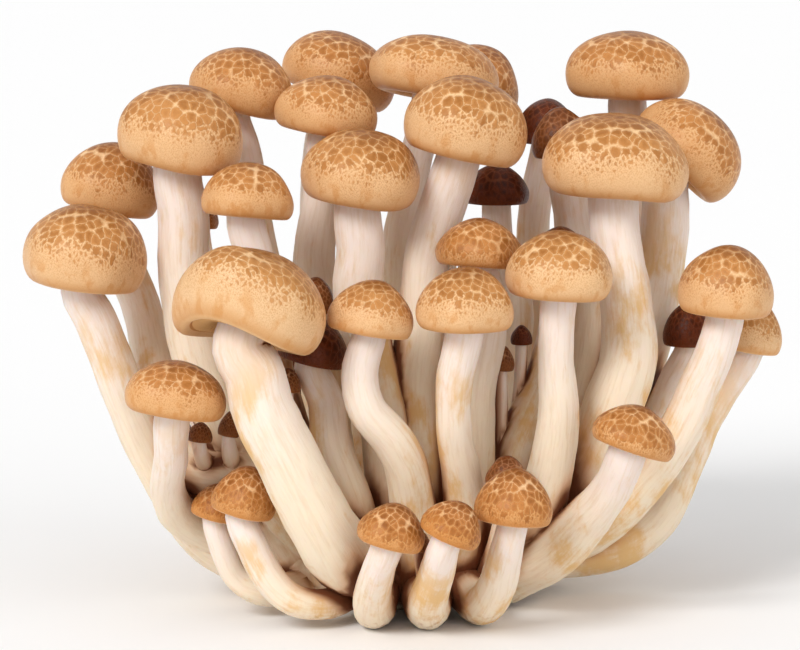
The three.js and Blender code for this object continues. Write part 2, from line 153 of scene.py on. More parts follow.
# Each mushroom: name, middle of the cap's rim, width and height of the cap, its lean to the right and to the
# back in degrees, the rim's arch as its lift and its heading in degrees, how dark the cap is from 0 to 1,
# the stem's radius at the cap, halfway and at the foot, and the points that the stem passes on its way down.
MUSHROOMS = [
    # Tall ones on the left
    ["cap_left_1", [-50.8, -8, 50.5], 19.5, 13.2, [6, 2], [0.8, 200], 0.1, [3.3, 3.6, 5],
     [[-49, -8, 46], [-46.5, -8, 39.5], [-43.2, -8, 30.5], [-38.5, -7, 20.5], [-31, -5, 9.5], [-18, -4, 5]]],
    ["cap_left_2", [-48.3, 8, 61.2], 16.1, 11, [12, 0], [0, 0], 0.3, [3, 3.7, 4.4],
     [[-42.7, 7, 45.5], [-40.9, 3, 38.5], [-39, -4, 31], [-35.8, -8.5, 23.8], [-31, -10.6, 21.7],
      [-26, -11.5, 21.1], [-21.5, -13, 19], [-15, -10, 10], [-9, -8, 4]]],
    ["cap_left_3", [-36, -2, 69.2], 20, 13, [9, 0], [0, 0], 0.15, [4.1, 4.2, 5.5],
     [[-35.1, -3, 61], [-35, -4, 53.5], [-33, -6, 40], [-28.5, -8, 28], [-20.5, -9, 12], [-15, -8, 4]]],
    ["cap_left_4", [-24.8, -12, 62.2], 14.5, 8.6, [5, 5], [0, 0], 0.3, [2.9, 3.2, 4.2],
     [[-23.5, -12, 56], [-21.5, -12, 43], [-18, -13, 29], [-12.5, -13, 12], [-9, -10, 3]]],
    ["cap_left_5", [-27.3, 13, 77], 17, 10.2, [14, 0], [0, 0], 0.35, [2.3, 2.6, 3.8],
     [[-25.6, 12, 70.5], [-24.3, 11.5, 61], [-20.5, 9, 41.5], [-15.5, 6, 12], [-13, 5, 3]]],
    ["cap_left_6", [-33, 12, 58], 5, 4, [10, 0], [0, 0], 0.8, [1.3, 1.6, 3],
     [[-31, 10, 46], [-24, 5, 12], [-21, 3, 4]]],

    # Tall ones in the middle
    ["cap_top_1", [-12.4, 27, 78.2], 19, 10.7, [20, 0], [0, 0], 0.35, [2.5, 2.8, 4],
     [[-14.5, 24, 67], [-15, 22, 48], [-11.5, 16, 12], [-10, 13, 3]]],
    ["cap_top_2", [-12.8, 4, 74], 16.5, 9.2, [9, 0], [0, 0], 0.3, [2.8, 3.7, 4.4],
     [[-13.2, 5, 67], [-13.6, 5, 62], [-14.6, 5, 55], [-14.2, 4, 44], [-10.5, 2, 12], [-9, 1, 3]]],
    ["cap_top_3", [-7.4, -8, 64], 18.7, 11.7, [7, 0], [0, 0], 0.15, [3.6, 4.1, 4.6],
     [[-7, -8.5, 56.5], [-7.5, -9, 50], [-5, -10, 38], [-3, -11, 28], [-1.5, -12, 12], [-1.5, -9, 2]]],
    ["cap_top_4", [4, 14, 78.8], 21, 10.2, [8, 7], [0.8, 180], 0.25, [2.8, 3, 4.2],
     [[1.7, 14, 68.5], [0.5, 13, 62.5], [-0.9, 12, 56], [-1, 9, 33], [-1, 5, 10], [-1, 3, 2]]],
    ["cap_top_5", [10, 31.5, 76], 15.5, 11, [28, 0], [0, 0], 0.45, [2.5, 2.8, 4],
     [[6.8, 27, 63], [6, 24, 52], [4, 16, 12], [3, 12, 2]]],
    ["cap_top_6", [8.4, -4.2, 71], 19.7, 12.7, [13, 0], [0, 0], 0.1, [3.4, 4.2, 5],
     [[6.5, -3.5, 65], [5, -3, 60], [3.5, -4, 54], [3, -6, 46.5], [1.5, -8, 35], [3.5, -9, 12],
      [3.5, -7, 2]]],
    ["cap_top_7", [15, 16, 61.5], 11, 6.5, [0, 0], [0, 0], 1, [2.4, 3.4, 4],
     [[15.4, 15.5, 55], [17.8, 14, 46], [16, 11, 30], [11, 8, 12], [10, 7, 3]]],
    ["cap_top_8", [23.5, 26, 70.4], 10.5, 7.5, [3, 0], [0, 0], 1, [2.5, 3, 4],
     [[21.5, 25, 58.5], [21.5, 22, 41], [16, 15, 12], [12, 11, 3]]],
    ["cap_top_9", [25.5, 12, 69.5], 10, 8, [-3, 0], [0, 0], 0.92, [2.6, 4, 4.6],
     [[27.2, 12, 60], [29, 10, 47], [27.5, 9, 34], [21, 7, 14], [16, 5, 4]]],

    # The right side
    ["cap_right_1", [36.7, 22, 78.4], 20.3, 11, [1, 0], [0, 0], 0.3, [3.4, 3.8, 4.8],
     [[36.8, 21, 65], [36, 18, 46], [27, 11, 16], [20, 7, 5]]],
    ["cap_right_2", [43.2, 11, 67.6], 19.3, 11.5, [44, 6], [0, 0], 0.3, [3.6, 4.2, 5],
     [[42.3, 10.5, 61], [42, 10, 56], [41, 9, 48], [37.8, 6, 35], [30, 3, 15], [22, 2, 5]]],
    ["cap_right_3", [32.8, -6, 65.2], 23, 12.7, [2, 0], [0, 0], 0.1, [3.9, 4.6, 6],
     [[33, -7, 59.5], [34.5, -9, 50], [35, -12, 40], [33, -13, 33.5], [29, -12, 22.5], [17, -4, 5]]],
    ["cap_right_4", [50, -12, 47], 15.2, 10.8, [4, 0], [0, 0], 0.18, [3, 3.6, 5],
     [[48.5, -12, 41], [46, -12, 35], [43, -12, 28], [38, -11, 20.5], [31, -8, 13], [17, -4, 7]]],
    ["cap_right_5", [55.3, 4, 38.9], 10, 8.3, [10, 0], [0, 0], 0.05, [2.4, 3.1, 4.9],
     [[51.4, 4, 32], [48.2, 3, 26.5], [45, 2, 19.5], [41, 1, 12.2], [34.5, 0, 7.8], [18, 0, 6]]],
    ["cap_right_6", [45.3, 0, 40.3], 8, 7, [0, 0], [0, 0], 1, [2.1, 2.3, 3.4],
     [[43, 1, 35], [39.5, 1, 27], [31.5, 0, 12], [18, 0, 6]]],

    # The front
    ["cap_front_1", [-24.7, -31, 45.5], 23.5, 14, [14, 10], [5, 240], 0, [4, 5.2, 5.4],
     [[-22.9, -31.5, 40.7], [-21.5, -32.5, 35.3], [-17.9, -33, 28], [-12.5, -31, 17], [-9.5, -25, 11],
      [-5, -13, 7]]],
    ["cap_front_2", [-35.4, -28, 33.8], 15.6, 8.2, [9, 2], [0, 0], 0.35, [2.8, 3, 4.6],
     [[-36, -24, 26.5], [-37, -18, 20.5], [-35.5, -12, 15], [-31, -8, 11.5], [-23, -5, 8.5], [-15, -4, 6]]],
    ["cap_front_3", [-5.5, -25, 45.8], 13.2, 8.2, [9, 2], [0, 0], 0.12, [2.7, 3.3, 5],
     [[-7, -26, 40], [-6, -27, 34.5], [-2, -26, 29.5], [0.5, -24, 23.5], [1.5, -19, 13], [1.5, -13, 5]]],
    ["cap_front_4", [9, -27, 46.8], 15, 9.3, [1, 0], [0, 0], 0.1, [2.9, 3, 4.5],
     [[7.5, -26, 38.5], [7.5, -25, 31], [8.8, -22, 22.5], [9.5, -17, 13], [8, -11, 5]]],
    ["cap_front_5", [23.5, -22, 51], 16.5, 10.2, [3, 0], [0, 0], 0.06, [2.9, 3.3, 5.4],
     [[23.2, -21, 41], [23.7, -21, 33], [22.7, -20, 24.5], [20.5, -16, 15.5], [16, -9, 8]]],
    ["cap_front_6", [11.5, -12, 54.4], 13.6, 7.6, [4, 5], [0, 0], 0.35, [3.2, 3.6, 4.4],
     [[12.5, -12, 46], [11, -13, 36.5], [10.5, -13, 24], [9.5, -12, 12], [8, -9, 4]]],
    ["cap_front_7", [34, -30, 28.7], 13.1, 6.9, [19, 3], [0, 0], 0.35, [2.8, 3.8, 5.2],
     [[31.5, -26, 21.5], [28.3, -22, 16.5], [24, -18, 11], [16, -9, 5]]],
    ["cap_front_8", [16.2, -37, 19], 12, 8, [5, 0], [0, 0], 0.5, [2.4, 3, 4.1],
     [[15, -34, 12.5], [14, -30, 7.5], [12, -25, 3.4], [9, -12, 4.5]]],
    ["cap_front_9", [6.2, -43, 17.5], 9.4, 5.9, [24, 0], [0, 0], 0.6, [2.2, 3.2, 4.2],
     [[4.8, -38, 11.5], [3.5, -32, 6], [3.6, -26, 3.2], [3, -12, 4.5]]],
    ["cap_front_10", [-2.6, -40, 16], 10.3, 6.5, [15, 0], [0, 0], 0.5, [2.4, 3, 4],
     [[-4, -37, 11.5], [-5, -31, 6], [-4.8, -26, 3.2], [-4, -12, 4.5]]],
    ["cap_front_11", [-25.2, -26, 18], 10, 7.5, [14, 0], [0, 0], 0.5, [2.3, 2.5, 2.2],
     [[-23.5, -26.5, 13], [-20.5, -27, 7.5], [-17, -27, 4.5], [-12.5, -25, 3.5], [-5, -13, 4.5]]],
    ["cap_front_12", [-29.5, -17.8, 15.7], 8.5, 5.5, [14, 0], [0, 0], 0.6, [2, 2.2, 2.8],
     [[-28.2, -18, 10], [-26.2, -18, 6], [-22.4, -18, 4], [-12, -9, 4.5]]],

    # Young ones between the tall stems
    ["cap_inner_1", [15.6, -26, 22], 6.5, 5, [0, 0], [0, 0], 0.9, [1.4, 1.8, 2.4],
     [[15, -22, 14], [13, -15, 5]]],
    ["cap_inner_2", [2.1, -35.2, 14], 3.3, 3, [6, 0], [0, 0], 0.9, [0.8, 1, 1.5],
     [[2.6, -33, 9], [2.5, -26, 5], [2.5, -12, 4.5]]],
    ["cap_inner_3", [-18.4, -20, 36], 4.4, 3.6, [4, 0], [0, 0], 0.9, [1.1, 1.4, 2.5],
     [[-18, -19, 31], [-14, -15, 13], [-12, -11, 4]]],
    ["cap_inner_4", [-14.6, -17.5, 40.2], 11, 7, [13, 0], [0, 0], 1, [2.7, 3.2, 4.4],
     [[-12.4, -17, 34], [-11.5, -19, 27.5], [-8.5, -19, 19], [-7, -15, 11], [-6, -11, 4]]],
    ["cap_inner_5", [-14.5, -6, 46.5], 6.5, 5.5, [5, 0], [0, 0], 0.9, [1.6, 1.8, 3],
     [[-13.5, -7, 32.5], [-9.5, -8, 12], [-8, -8, 3]]],
    ["cap_inner_6", [15, -8, 37.5], 4.5, 4, [4, 0], [0, 0], 0.9, [1.2, 1.6, 2.8],
     [[15, -9, 26], [13.5, -9, 12], [11, -8, 4]]],
    ["cap_inner_7", [18.5, -4, 41], 3.5, 3, [0, 0], [0, 0], 1, [1, 1.3, 2.6],
     [[18, -5, 32], [15, -5, 12], [12, -4, 4]]],
    ["cap_inner_8", [-32, -19, 28], 4, 3, [8, 0], [0, 0], 0.9, [1.1, 1.3, 1.5],
     [[-31.8, -16.6, 25.5], [-31, -11.5, 22.3]]],
    ["cap_inner_9", [-27.5, -17, 28.5], 3.5, 4, [10, 0], [0, 0], 0.9, [1, 1.3, 1.5],
     [[-27.4, -15.6, 25.5], [-26.8, -12.2, 21.8]]],
    ["cap_inner_10", [24.9, 2, 53.2], 9, 6, [0, 0], [0, 0], 0.9, [2.2, 3.3, 4.6],
     [[24.5, 1, 46], [21.8, -4, 34.5], [17.8, -8, 26], [14, -9, 12], [12, -6, 5]]],

    # Shorter ones that close the back
    ["cap_back_1", [-34, 16, 28], 11, 7.5, [-8, 10], [0, 0], 0.4, [2.4, 2.8, 4],
     [[-31, 14, 19], [-24, 10, 10], [-17, 7, 5]]],
    ["cap_back_2", [-24, 32, 36], 15, 9, [-4, 12], [0, 0], 0.3, [2.8, 3.2, 4.5],
     [[-21, 26, 23], [-16, 18, 12], [-11, 12, 4]]],
    ["cap_back_3", [-7, 37, 33], 15.5, 10, [3, 10], [0, 0], 0.2, [3, 3.4, 4.8],
     [[-7, 31, 21], [-6, 22, 10], [-5, 13, 4]]],
    ["cap_back_4", [9, 36, 25], 13, 8, [2, 12], [0, 0], 0.35, [2.6, 3, 4.4],
     [[8, 30, 16], [7, 22, 8], [6, 13, 4]]],
    ["cap_back_5", [27, 30, 21], 13.5, 8.5, [6, 8], [0, 0], 0.25, [2.6, 3, 4.4],
     [[24, 25, 12], [19, 17, 7], [12, 11, 4]]],
    ["cap_back_6", [-15, 39, 18], 10.5, 7, [-6, 14], [0, 0], 0.5, [2.2, 2.6, 3.8],
     [[-13, 33, 10], [-10, 24, 5], [-7, 15, 4]]],
    ["cap_back_7", [0, 42, 16], 9, 6, [2, 16], [0, 0], 0.6, [1.9, 2.3, 3.4],
     [[0.5, 35, 9], [1, 26, 4.5], [1, 15, 4]]],
    ["cap_back_8", [16, 38, 14], 9.5, 6.5, [8, 14], [0, 0], 0.5, [2.1, 2.5, 3.6],
     [[14, 32, 8], [12, 24, 4.5], [9, 14, 4]]],
    ["cap_back_9", [38.5, 22, 25], 10, 7, [8, 8], [0, 0], 0.4, [2.3, 2.7, 3.8],
     [[34.5, 18, 17], [27, 12, 10], [18, 7, 5]]],
]

# Rims that hang lower on one side: how far, and towards which heading in degrees
DROOPS = {
    "cap_front_1": (3.0, 155),
    "cap_right_3": (1.5, 330),
    "cap_top_3": (0.8, 300),
    "cap_left_3": (0.8, 290),
}


class Field:
    """A value that varies over a mesh or a surface: one output of a node. Its arithmetic adds math nodes."""

    def __init__(self, tree, socket):
        self.tree = tree
        self.socket = socket

    def beside(self, name):
        return Field(self.tree, self.socket.node.outputs[name])

    def math(self, operation, *others):
        terms = dict(enumerate((self, *others)))
        return add(self.tree, "ShaderNodeMath", terms, operation=operation)

    def __add__(self, other):
        return self.math("ADD", other)

    def __sub__(self, other):
        return self.math("SUBTRACT", other)

    def __rsub__(self, other):
        return self.math("MULTIPLY_ADD", -1.0, other)

    def __mul__(self, other):
        return self.math("MULTIPLY", other)

    def __truediv__(self, other):
        return self.math("DIVIDE", other)

    def ramp(self, low, high, start=0.0, end=1.0):
        """Eases from start to end while the value goes from low to high."""
        span = {0: self, 1: low, 2: high, 3: start, 4: end}
        return add(self.tree, "ShaderNodeMapRange", span, interpolation_type="SMOOTHSTEP")

    def between(self, first, second):
        """The colour that lies this share of the way from the first to the second."""
        share = {0: self, 6: first, 7: second}
        return add(self.tree, "ShaderNodeMix", share, out=2, data_type="RGBA")


def add(tree, kind, inputs=(), out=0, **settings):
    """Adds a node to a tree, feeds its inputs by number or name, and gives one of its outputs."""
    node = tree.nodes.new(kind)
    for name, value in settings.items():
        setattr(node, name, value)
    for key, value in dict(inputs).items():
        if isinstance(value, Field):
            tree.links.new(value.socket, node.inputs[key])
        else:
            node.inputs[key].default_value = value
    return Field(tree, node.outputs[out])


def new_tree(name, kind, inputs, outputs):
    """An empty node group with named sockets. Gives the tree and the fields of its inputs."""
    tree = bpy.data.node_groups.new(name, kind)
    for label, socket in inputs:
        tree.interface.new_socket(label, in_out="INPUT", socket_type=f"NodeSocket{socket}")
    for label, socket in outputs:
        tree.interface.new_socket(label, in_out="OUTPUT", socket_type=f"NodeSocket{socket}")
    entry = tree.nodes.new("NodeGroupInput")
    return tree, {label: Field(tree, entry.outputs[label]) for label, _ in inputs}


def close_tree(tree, results):
    """Feeds the group's outputs by name."""
    leave = tree.nodes.new("NodeGroupOutput")
    for label, field in results.items():
        tree.links.new(field.socket, leave.inputs[label])


def vector(tree, x, y, z):
    return add(tree, "ShaderNodeCombineXYZ", {0: x, 1: y, 2: z})


def split(field):
    parts = add(field.tree, "ShaderNodeSeparateXYZ", {0: field})
    return parts, parts.beside("Y"), parts.beside("Z")


def noise_of(tree, where, scale, detail=2.0, roughness=0.5, distortion=0.0, **settings):
    inputs = {"Vector": where, "Scale": scale, "Detail": detail}
    inputs |= {"Roughness": roughness, "Distortion": distortion}
    return add(tree, "ShaderNodeTexNoise", inputs, **settings)


def shaped_by(tree, piece, values):
    """Runs a geometry tree on a piece with its inputs set by name, and leaves the result as a plain mesh."""
    modifier = piece.modifiers.new(tree.name, "NODES")
    modifier.node_group = tree
    for item in tree.interface.items_tree:
        if item.in_out == "INPUT" and item.name in values:
            modifier[item.identifier] = values[item.name]
    return frozen(piece)


def frozen(piece):
    """A new piece of the same name, whose plain mesh is what the old one's modifiers make."""
    bpy.context.view_layer.update()
    graph = bpy.context.evaluated_depsgraph_get()
    mesh = bpy.data.meshes.new_from_object(piece.evaluated_get(graph), depsgraph=graph)
    name = piece.name
    bpy.data.objects.remove(piece)
    return placed(name, mesh)


def placed(name, data):
    piece = bpy.data.objects.new(name, data)
    bpy.context.scene.collection.objects.link(piece)
    return piece


def colour(red, green, blue):
    """A colour as it is seen on screen, 0 to 255, made linear."""
    seen = np.array([red, green, blue]) / 255
    linear = np.where(seen < 0.04045, seen / 12.92, ((seen + 0.055) / 1.055) ** 2.4)
    return (*(float(part) for part in linear), 1.0)


# Colours
# The dark set is partly the skin's own deeper brown and partly painted shade
ISLAND = {"pale": colour(152, 91, 26), "brown": colour(136, 74, 19), "dark": colour(60, 22, 7)}
ISLAND_EDGE = {"pale": colour(194, 134, 74), "brown": colour(188, 120, 60), "dark": colour(104, 45, 17)}
NET = {"pale": colour(240, 200, 150), "brown": colour(244, 204, 158), "dark": colour(142, 82, 48)}
BAND = {"pale": colour(228, 188, 142), "brown": colour(206, 146, 84), "dark": colour(88, 39, 15)}
# Browner crown: partly the skin's own colour, partly painted shade
CROWN_BROWN_AND_SHADE = colour(98, 50, 22)
RIM = {"pale": colour(208, 146, 82), "brown": colour(190, 122, 58), "dark": colour(108, 56, 26)}
GILL = colour(236, 190, 130)
# Painted shade for the gills' roots and the flesh between them
GILL_FOLD_SHADE = colour(206, 146, 84)
# Pale flesh at the top of a stem, tinted pink as painted warm shade under the caps
FLESH_TOP_WITH_PINK_SHADE = colour(237, 222, 213)
FLESH_FOOT = colour(236, 219, 194)
FLESH_STAIN = colour(222, 180, 118)
FLESH_FIBRE = colour(214, 186, 152)
# Painted shade: tan, then deep brown, for flesh that is shut in between the stems
FLESH_SHADE = colour(210, 154, 104)
FLESH_CREVICE_SHADE = colour(108, 52, 20)
FLESH_SCAR = colour(156, 90, 38)
BACKDROP = (0.93, 0.93, 0.93, 1.0)


def fibre_group():
    """Fine fibres that run along a stem or out along a gill, as a value from 0 to 1."""
    inputs = [("Grain", "Vector"), ("Fineness", "Float"), ("Stretch", "Float")]
    tree, put = new_tree("fibres", "ShaderNodeTree", inputs, [("Fibre", "Float")])
    x, y, z = split(put["Grain"])
    along = vector(tree, x, y, z / put["Stretch"])
    fine = noise_of(tree, along, put["Fineness"], detail=4.0, roughness=0.62, distortion=0.4)
    broad = noise_of(tree, along, put["Fineness"] * 0.27, detail=2.0)
    close_tree(tree, {"Fibre": fine * 0.65 + broad * 0.35})
    return tree


def marbling_group():
    """Islands of brown skin parted by a pale net. Towards the rim they shrink to dots and fade away."""
    inputs = [
        ("Skin", "Vector"), ("Reach", "Float"), ("Across", "Float"), ("Island", "Color"), ("Edge", "Color"),
        ("Net", "Color"), ("Band", "Color"), ("Rim", "Color"), ("Down", "Float"),
    ]
    outputs = [("Color", "Color"), ("Height", "Float"), ("Brown", "Float")]
    tree, put = new_tree("marbled skin", "ShaderNodeTree", inputs, outputs)
    skin = put["Skin"]
    inside = put["Reach"]

    # The cells are bent a little, so that no line of the net is straight
    bend = noise_of(tree, skin, 17.0, detail=3.0, roughness=0.72, out=1)
    push = add(tree, "ShaderNodeVectorMath", {0: bend, 1: (0.5, 0.5, 0.5)}, operation="SUBTRACT")
    shift = add(tree, "ShaderNodeVectorMath", {0: push, "Scale": 0.055}, operation="SCALE")
    bent = add(tree, "ShaderNodeVectorMath", {0: skin, 1: shift}, operation="ADD")

    def cells(scale, feature="DISTANCE_TO_EDGE", out=0):
        inputs = {"Vector": bent, "Scale": scale, "Randomness": 0.92}
        return add(tree, "ShaderNodeTexVoronoi", inputs, out=out, voronoi_dimensions="2D", feature=feature)

    patchy = noise_of(tree, skin, 4.0, detail=2.0)
    edge = inside + (patchy - 0.5) * 0.4
    wear = noise_of(tree, skin, 26.0, detail=4.0, roughness=0.65)
    worms = noise_of(tree, skin, put["Across"] * 2.6, detail=3.0, roughness=0.7)

    size = put["Across"] * 0.3 + 5.2
    large = cells(size)
    start = edge.ramp(0.0, 0.2, 0.32, -0.05) + (wear - 0.5) * 0.14
    middles = cells(size, feature="F1")
    islands = large.ramp(start, start + 0.13) * edge.ramp(0.0, 0.07) * middles.ramp(0.9, 0.5)
    faded = noise_of(tree, skin, 9.0, detail=3.0, roughness=0.6)
    islands = islands.math("MAXIMUM", faded.ramp(0.46, 0.66) * edge.ramp(0.05, 0.35) * 0.5)
    middle = cells(size * 2.0)
    start = edge.ramp(-0.12, 0.1, 0.42, 0.05) + (wear - 0.5) * 0.16
    spots = middle.ramp(start, start + 0.18) * edge.ramp(-0.14, 0.0) * edge.ramp(0.26, 0.1, 0.0, 0.85)
    speck_size = edge.ramp(-0.4, 0.05, 0.12, 0.5)
    near = add(
        tree, "ShaderNodeTexVoronoi", {"Vector": skin, "Scale": put["Across"] * 2.8, "Randomness": 1.0},
        voronoi_dimensions="2D", feature="F1",
    )
    specks = near.ramp(speck_size, speck_size * 0.3) * edge.ramp(-0.42, 0.0, 0.05, 0.5) * edge.ramp(0.2, 0.0)
    brown = islands.math("MAXIMUM", spots).math("MAXIMUM", specks)

    # Each island has a tone of its own and a deeper heart. The crown is browner, partly its own colour and
    # partly painted shade
    own, _, _ = split(middles.beside("Color"))
    cloud = noise_of(tree, skin, 22.0, detail=4.0, roughness=0.7)
    crown = put["Down"].ramp(0.42, 0.05)
    heart = large.ramp(0.0, 0.4) * edge.ramp(0.0, 0.45, 0.25, 0.8) + (own - 0.5) * 0.5
    heart = heart + (cloud - 0.5) * 0.9 + crown * 0.3
    broad = noise_of(tree, skin, 1.7, detail=1.0)
    island = (heart + (broad - 0.5) * 0.9).between(put["Edge"], put["Island"])
    ground = put["Down"].ramp(0.3, 0.72).between(put["Net"], put["Band"])
    ground = (worms.ramp(0.45, 0.7) * edge.ramp(-0.5, 0.1, 0.1, 0.35)).between(ground, put["Edge"])
    ground = (crown * 0.75 + (wear - 0.5) * 0.4).between(ground, put["Edge"])
    blotch = noise_of(tree, skin, 5.0, detail=3.0, roughness=0.6)
    ground = (blotch.ramp(0.5, 0.64) * put["Down"].ramp(0.62, 0.86) * 0.6).between(ground, put["Rim"])
    ground = (put["Down"].ramp(0.84, 0.95) * 0.6).between(ground, put["Rim"])
    ground = (put["Down"].ramp(0.955, 0.99) * 0.6).between(ground, put["Net"])
    painted = (brown * 0.94).between(ground, island)
    # The crown's own brown mixed with painted shade
    painted = (crown * cloud.ramp(0.2, 0.6, 0.2, 0.42)).between(painted, CROWN_BROWN_AND_SHADE)
    pores = noise_of(tree, skin, put["Across"] * 3.2, detail=2.0)
    height = islands * 0.45 + cloud * 0.3 + pores * 0.16 + worms * 0.25 + (1.0 - edge.ramp(-0.2, 0.3)) * 0.5
    close_tree(tree, {"Color": painted, "Height": height, "Brown": brown})
    return tree


def attribute(tree, name, out="Fac"):
    return add(tree, "ShaderNodeAttribute", out=out, attribute_name=name)


def new_material(name, roughness, **surface):
    """A material with its Principled shader, whose plain values are set on the shader's own sockets."""
    material = bpy.data.materials.new(name)
    material.use_nodes = True
    shader = material.node_tree.nodes["Principled BSDF"]
    shader.inputs["Roughness"].default_value = roughness
    for socket, value in surface.items():
        shader.inputs[socket.replace("_", " ")].default_value = value
    return material, material.node_tree, shader


def connect(shader, **fields):
    for socket, field in fields.items():
        field.tree.links.new(field.socket, shader.inputs[socket.replace("_", " ")])


def bump(tree, height, distance, strength=1.0):
    return add(tree, "ShaderNodeBump", {"Strength": strength, "Distance": distance, "Height": height})


def skin_material(name, group, light, deep):
    """The skin of a cap. Its tone runs from the light set of colours to the deep one."""
    surface = {"Subsurface_Weight": 0.06, "Subsurface_Scale": 1.2 * MM, "Subsurface_Radius": (1.0, 0.5, 0.25)}
    material, tree, shader = new_material(name, 0.4, **surface, IOR=1.36, Specular_IOR_Level=0.3)
    tone = attribute(tree, "tone")
    mixed = {
        "Island": tone.between(ISLAND[light], ISLAND[deep]),
        "Edge": tone.between(ISLAND_EDGE[light], ISLAND_EDGE[deep]),
        "Net": tone.between(NET[light], NET[deep]),
        "Band": tone.between(BAND[light], BAND[deep]),
        "Rim": tone.between(RIM[light], RIM[deep]),
        "Skin": add(tree, "ShaderNodeUVMap", uv_map="skin"),
        "Down": attribute(tree, "down"),
        "Reach": attribute(tree, "reach"),
        "Across": attribute(tree, "across"),
    }
    painted = add(tree, "ShaderNodeGroup", node_tree=group)
    for label, field in mixed.items():
        tree.links.new(field.socket, painted.socket.node.inputs[label])
    height = painted.beside("Height")
    connect(
        shader,
        Base_Color=painted,
        Roughness=painted.beside("Brown").ramp(0.0, 1.0, 0.42, 0.3),
        Normal=bump(tree, height, 0.16 * MM),
    )
    return material


def gill_material(fibres):
    surface = {"Subsurface_Weight": 0.2, "Subsurface_Scale": 1.2 * MM, "Subsurface_Radius": (1.0, 0.6, 0.35)}
    material, tree, shader = new_material("gill flesh", 0.7, **surface)
    depth = attribute(tree, "depth")
    grain = add(tree, "ShaderNodeTexCoord", out="Object")
    fibre = add(tree, "ShaderNodeGroup", {}, node_tree=fibres)
    node = fibre.socket.node
    tree.links.new(grain.socket, node.inputs["Grain"])
    node.inputs["Fineness"].default_value = 1400.0
    node.inputs["Stretch"].default_value = 1.0
    # Painted shade: darker and more orange towards the roots of the gills
    shade = (depth + (fibre - 0.5) * 0.5).between(GILL, GILL_FOLD_SHADE)
    connect(shader, Base_Color=shade, Normal=bump(tree, fibre, 0.05 * MM))
    return material


def stem_material(fibres):
    """Pale flesh: fibres along the stem, tan stains that gather towards the foot, painted pink shade under
    the caps and painted brown shade in the crevices.
    """
    surface = {"Subsurface_Weight": 0.3, "Subsurface_Scale": 3.0 * MM, "Subsurface_Radius": (1.0, 0.55, 0.3)}
    material, tree, shader = new_material("stem flesh", 0.62, **surface, IOR=1.38)
    grain = attribute(tree, "grain", out="Vector")
    share = attribute(tree, "share")
    crevice = attribute(tree, "crevice")
    fibre = add(tree, "ShaderNodeGroup", {}, node_tree=fibres)
    node = fibre.socket.node
    tree.links.new(grain.socket, node.inputs["Grain"])
    node.inputs["Fineness"].default_value = 1.9
    node.inputs["Stretch"].default_value = 9.0
    where = add(tree, "ShaderNodeTexCoord", out="Object")
    x, y, z = split(where)
    tall = vector(tree, x, y, z * 0.5)
    cloud = noise_of(tree, tall, 95.0, detail=3.0, roughness=0.55, distortion=0.3)
    fleck = noise_of(tree, tall, 420.0, detail=4.0, roughness=0.7)
    # Pinker towards the caps, as painted shade under them, and creamier towards the foot
    base = share.ramp(0.0, 0.55).between(FLESH_TOP_WITH_PINK_SHADE, FLESH_FOOT)
    streak = fibre.ramp(0.44, 0.68) * 0.4
    base = streak.between(base, FLESH_FIBRE)
    stain = (cloud + (fleck - 0.5) * 0.35 + (fibre - 0.5) * 0.25).ramp(0.5, 0.68)
    stain = stain * share.ramp(0.0, 0.35, 0.25, 0.9)
    base = stain.between(base, FLESH_STAIN)
    # Painted shade where the stems shut the flesh in: tan first, deep brown in the narrowest crevices
    base = (crevice.ramp(0.03, 0.3) * 0.7).between(base, FLESH_SHADE)
    base = (crevice.ramp(0.16, 0.42) * 0.94).between(base, FLESH_CREVICE_SHADE)
    base = z.ramp(0.5 * MM, 0.1 * MM).between(base, FLESH_FOOT)
    low = z.ramp(4 * MM, 0.0) * fleck.ramp(0.5, 0.66)
    base = (low * 0.6).between(base, FLESH_SCAR)
    relief = fibre * 0.7 + fleck * 0.25 + cloud * 0.3
    connect(shader, Base_Color=base, Normal=bump(tree, relief, 0.22 * MM))
    return material


